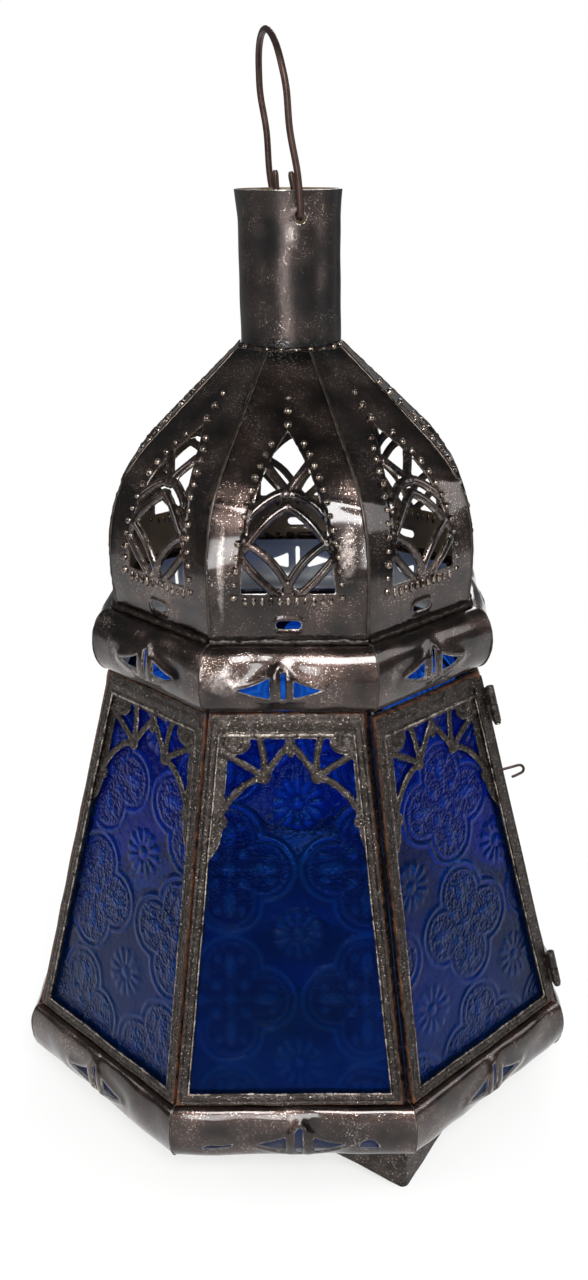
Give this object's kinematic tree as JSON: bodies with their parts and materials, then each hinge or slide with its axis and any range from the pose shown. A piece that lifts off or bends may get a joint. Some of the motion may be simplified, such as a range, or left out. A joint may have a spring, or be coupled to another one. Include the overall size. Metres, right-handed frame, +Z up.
{
  "type": "hanging lantern",
  "caption": "Eight-sided hanging tin lantern with blue glass panes, a pierced onion dome, a neck tube with a wire bail and a hinged glass door.",
  "frame": {"origin": "on the ground under the lantern's axis, at the level of the tips of its feet", "axes": "+Z up the lantern's axis; -Y out of face 1, the face nearest the camera; +X out of the door"},
  "size_m": [0.2316, 0.2316, 0.4285],
  "materials": {
    "lacquered_tin": "dark brown-black lacquered tin, glossy and worn",
    "dull_tin": "dark tin with rust in the joints",
    "solder": "tarnished solder bead",
    "blue_glass": "ultramarine rolled glass with a floral relief",
    "iron_wire": "rusty brown wire"
  },
  "bodies": {
    "root": {"dome_gore_1": "lacquered_tin", "dome_gore_2": "lacquered_tin", "dome_gore_3": "lacquered_tin", "dome_gore_4": "lacquered_tin", "dome_gore_5": "lacquered_tin", "dome_gore_6": "lacquered_tin", "dome_gore_7": "lacquered_tin", "dome_gore_8": "lacquered_tin", "shoulder_band_1": "lacquered_tin", "shoulder_band_2": "lacquered_tin", "shoulder_band_3": "lacquered_tin", "shoulder_band_4": "lacquered_tin", "shoulder_band_5": "lacquered_tin", "shoulder_band_6": "lacquered_tin", "shoulder_band_7": "lacquered_tin", "shoulder_band_8": "lacquered_tin", "base_band_1": "lacquered_tin", "base_band_2": "lacquered_tin", "base_band_3": "lacquered_tin", "base_band_4": "lacquered_tin", "base_band_5": "lacquered_tin", "base_band_6": "lacquered_tin", "base_band_7": "lacquered_tin", "base_band_8": "lacquered_tin", "neck_tube": "lacquered_tin", "pane_frame_1": "dull_tin", "pane_frame_2": "dull_tin", "pane_frame_4": "dull_tin", "pane_frame_5": "dull_tin", "pane_frame_6": "dull_tin", "pane_frame_7": "dull_tin", "pane_frame_8": "dull_tin", "tracery_1": "dull_tin", "tracery_2": "dull_tin", "tracery_4": "dull_tin", "tracery_5": "dull_tin", "tracery_6": "dull_tin", "tracery_7": "dull_tin", "tracery_8": "dull_tin", "base_plate": "dull_tin", "candle_cup": "dull_tin", "foot_1": "dull_tin", "foot_2": "dull_tin", "foot_3": "dull_tin", "fixed_hinge_strip": "dull_tin", "dome_seams": "solder", "glass_pane_1": "blue_glass", "glass_pane_2": "blue_glass", "glass_pane_4": "blue_glass", "glass_pane_5": "blue_glass", "glass_pane_6": "blue_glass", "glass_pane_7": "blue_glass", "glass_pane_8": "blue_glass"},
    "bail": {"bail": "iron_wire"},
    "door": {"door_frame": "dull_tin", "door_glass": "blue_glass", "door_tracery": "dull_tin", "door_hinge_strip": "dull_tin"},
    "hook": {"latch_hook": "iron_wire"}
  },
  "joints": [
    {"name": "bail_swing", "type": "hinge", "parent": "root", "child": "bail", "pos_m": [0, 0, 0.3639], "axis": [0.2521, -0.9677, 0], "range_deg": [-41.7, 28.3]},
    {"name": "door_swing", "type": "hinge", "parent": "root", "child": "door", "pos_m": [0.1134, -0.04697, 0.04461], "axis": [0.2383, -0.0987, -0.9662], "range_deg": [0, 100]},
    {"name": "hook_turn", "type": "hinge", "parent": "door", "child": "hook", "pos_m": [0.09346, 0.03541, 0.1133], "axis": [0.9709, 0, 0.2395], "range_deg": [-90, 90]}
  ]
}
